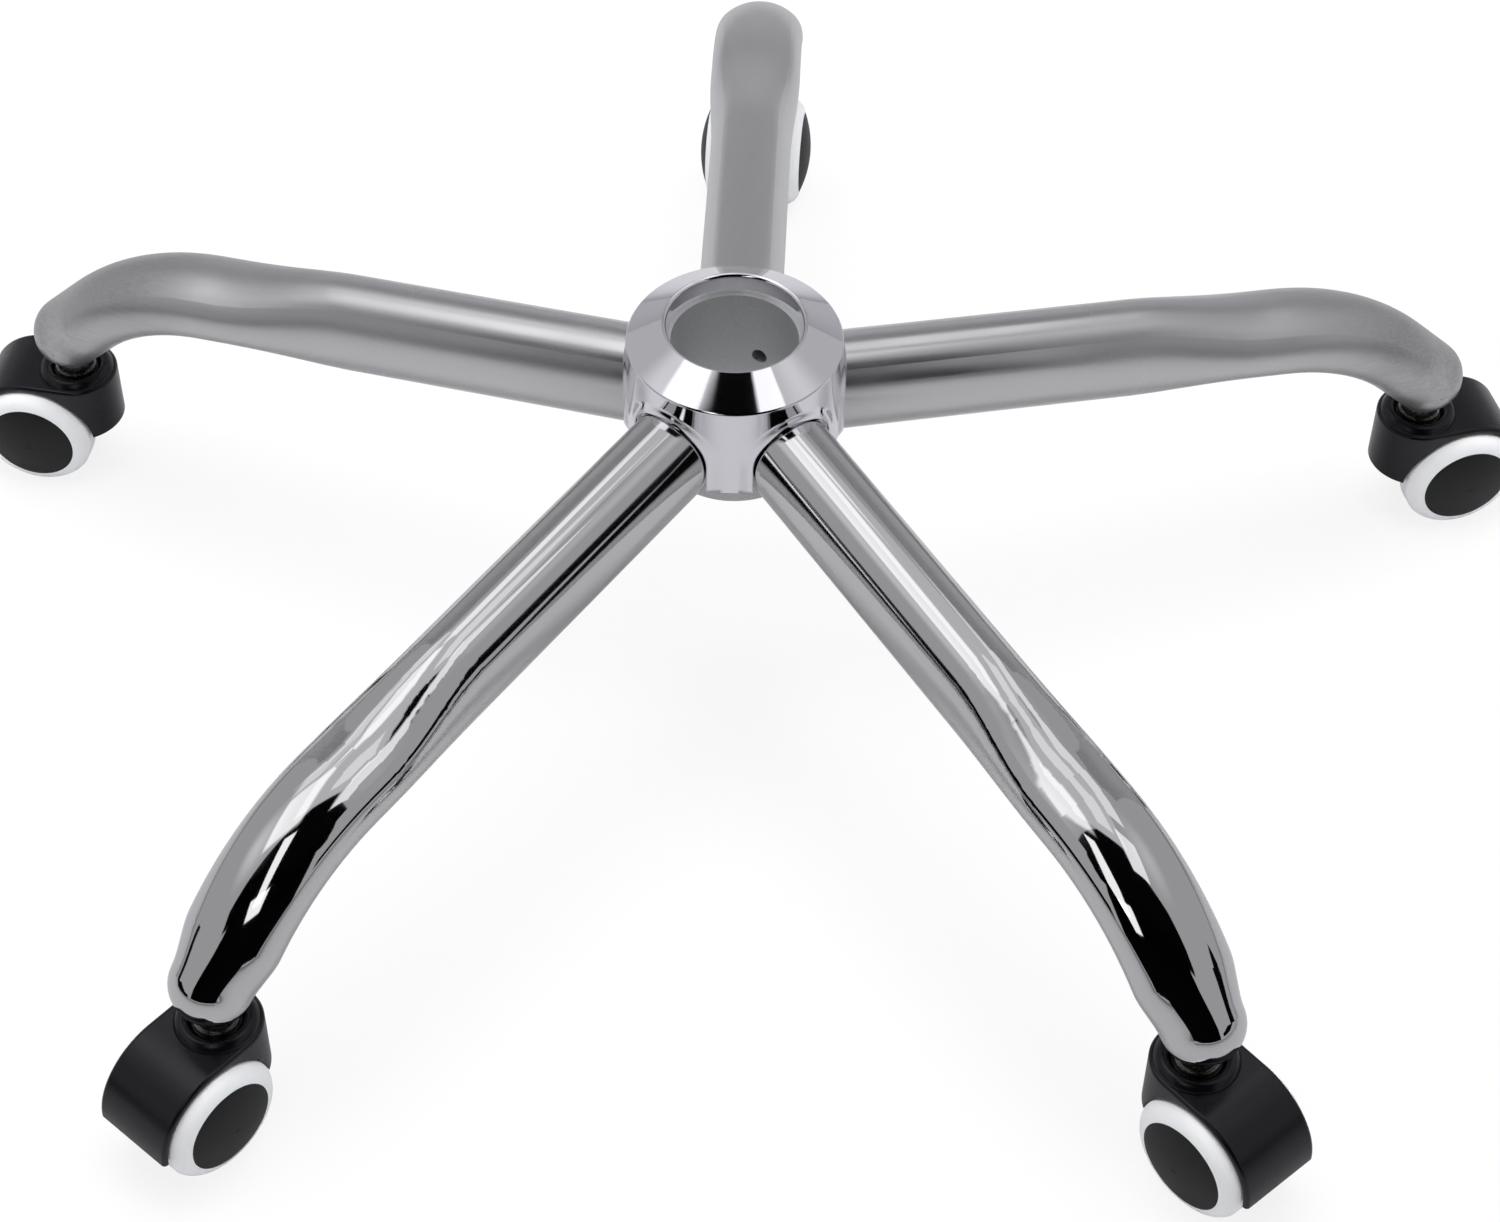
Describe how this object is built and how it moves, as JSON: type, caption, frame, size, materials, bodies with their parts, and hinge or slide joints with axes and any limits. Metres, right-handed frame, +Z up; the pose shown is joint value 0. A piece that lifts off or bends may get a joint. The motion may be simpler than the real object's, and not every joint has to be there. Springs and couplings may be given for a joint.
{
  "type": "office chair five star base",
  "caption": "Chromed star-shaped chair base: bent oval steel legs round a central column socket, each standing on a swivelling twin-wheel caster.",
  "frame": {"origin": "on the floor, on the axis of the column socket", "axes": "+Z up along the column socket's axis, +Y along the rear leg, +X to the right"},
  "size_m": [0.6771, 0.6155, 0.1799],
  "materials": {
    "chrome": "polished",
    "sleeve_steel": "matte",
    "zinc_steel": "satin",
    "black_nylon": "satin",
    "grey_tread": "matte"
  },
  "bodies": {
    "star": {"hub_shell": "chrome", "taper_sleeve": "sleeve_steel", "leg_rear": "chrome", "stem_socket_rear": "zinc_steel", "stem_rear": "zinc_steel", "grip_ring_rear": "zinc_steel", "leg_left": "chrome", "stem_socket_left": "zinc_steel", "stem_left": "zinc_steel", "grip_ring_left": "zinc_steel", "leg_front_left": "chrome", "stem_socket_front_left": "zinc_steel", "stem_front_left": "zinc_steel", "grip_ring_front_left": "zinc_steel", "leg_front_right": "chrome", "stem_socket_front_right": "zinc_steel", "stem_front_right": "zinc_steel", "grip_ring_front_right": "zinc_steel", "leg_right": "chrome", "stem_socket_right": "zinc_steel", "stem_right": "zinc_steel", "grip_ring_right": "zinc_steel"},
    "caster_rear": {"hood_rear": "black_nylon", "axle_rear": "zinc_steel"},
    "wheel_rear_a": {"wheel_core_rear_a": "black_nylon", "tread_rear_a": "grey_tread"},
    "wheel_rear_b": {"wheel_core_rear_b": "black_nylon", "tread_rear_b": "grey_tread"},
    "caster_left": {"hood_left": "black_nylon", "axle_left": "zinc_steel"},
    "wheel_left_a": {"wheel_core_left_a": "black_nylon", "tread_left_a": "grey_tread"},
    "wheel_left_b": {"wheel_core_left_b": "black_nylon", "tread_left_b": "grey_tread"},
    "caster_front_left": {"hood_front_left": "black_nylon", "axle_front_left": "zinc_steel"},
    "wheel_front_left_a": {"wheel_core_front_left_a": "black_nylon", "tread_front_left_a": "grey_tread"},
    "wheel_front_left_b": {"wheel_core_front_left_b": "black_nylon", "tread_front_left_b": "grey_tread"},
    "caster_front_right": {"hood_front_right": "black_nylon", "axle_front_right": "zinc_steel"},
    "wheel_front_right_a": {"wheel_core_front_right_a": "black_nylon", "tread_front_right_a": "grey_tread"},
    "wheel_front_right_b": {"wheel_core_front_right_b": "black_nylon", "tread_front_right_b": "grey_tread"},
    "caster_right": {"hood_right": "black_nylon", "axle_right": "zinc_steel"},
    "wheel_right_a": {"wheel_core_right_a": "black_nylon", "tread_right_a": "grey_tread"},
    "wheel_right_b": {"wheel_core_right_b": "black_nylon", "tread_right_b": "grey_tread"}
  },
  "joints": [
    {"name": "swivel_rear", "type": "hinge", "parent": "star", "child": "caster_rear", "pos_m": [0, 0.305, 0.045], "axis": [0, 0, 1], "continuous": true},
    {"name": "roll_rear_a", "type": "hinge", "parent": "caster_rear", "child": "wheel_rear_a", "pos_m": [-0.00123, 0.28734, 0.025], "axis": [0.9976, -0.0698, 0], "continuous": true},
    {"name": "roll_rear_b", "type": "hinge", "parent": "caster_rear", "child": "wheel_rear_b", "pos_m": [-0.00123, 0.28734, 0.025], "axis": [0.9976, -0.0698, 0], "continuous": true},
    {"name": "swivel_left", "type": "hinge", "parent": "star", "child": "caster_left", "pos_m": [-0.29007, 0.09425, 0.045], "axis": [0, 0, 1], "continuous": true},
    {"name": "roll_left_a", "type": "hinge", "parent": "caster_left", "child": "wheel_left_a", "pos_m": [-0.3076, 0.09671, 0.025], "axis": [-0.1392, -0.9903, 0], "continuous": true},
    {"name": "roll_left_b", "type": "hinge", "parent": "caster_left", "child": "wheel_left_b", "pos_m": [-0.3076, 0.09671, 0.025], "axis": [-0.1392, -0.9903, 0], "continuous": true},
    {"name": "swivel_front_left", "type": "hinge", "parent": "star", "child": "caster_front_left", "pos_m": [-0.17927, -0.24675, 0.045], "axis": [0, 0, 1], "continuous": true},
    {"name": "roll_front_left_a", "type": "hinge", "parent": "caster_front_left", "child": "wheel_front_left_a", "pos_m": [-0.19041, -0.26051, 0.025], "axis": [0.7771, -0.6293, 0], "continuous": true},
    {"name": "roll_front_left_b", "type": "hinge", "parent": "caster_front_left", "child": "wheel_front_left_b", "pos_m": [-0.19041, -0.26051, 0.025], "axis": [0.7771, -0.6293, 0], "continuous": true},
    {"name": "swivel_front_right", "type": "hinge", "parent": "star", "child": "caster_front_right", "pos_m": [0.17927, -0.24675, 0.045], "axis": [0, 0, 1], "continuous": true},
    {"name": "roll_front_right_a", "type": "hinge", "parent": "caster_front_right", "child": "wheel_front_right_a", "pos_m": [0.19135, -0.2597, 0.025], "axis": [0.7314, 0.682, 0], "continuous": true},
    {"name": "roll_front_right_b", "type": "hinge", "parent": "caster_front_right", "child": "wheel_front_right_b", "pos_m": [0.19135, -0.2597, 0.025], "axis": [0.7314, 0.682, 0], "continuous": true},
    {"name": "swivel_right", "type": "hinge", "parent": "star", "child": "caster_right", "pos_m": [0.29007, 0.09425, 0.045], "axis": [0, 0, 1], "continuous": true},
    {"name": "roll_right_a", "type": "hinge", "parent": "caster_right", "child": "wheel_right_a", "pos_m": [0.307, 0.09942, 0.025], "axis": [-0.2924, 0.9563, 0], "continuous": true},
    {"name": "roll_right_b", "type": "hinge", "parent": "caster_right", "child": "wheel_right_b", "pos_m": [0.307, 0.09942, 0.025], "axis": [-0.2924, 0.9563, 0], "continuous": true}
  ]
}
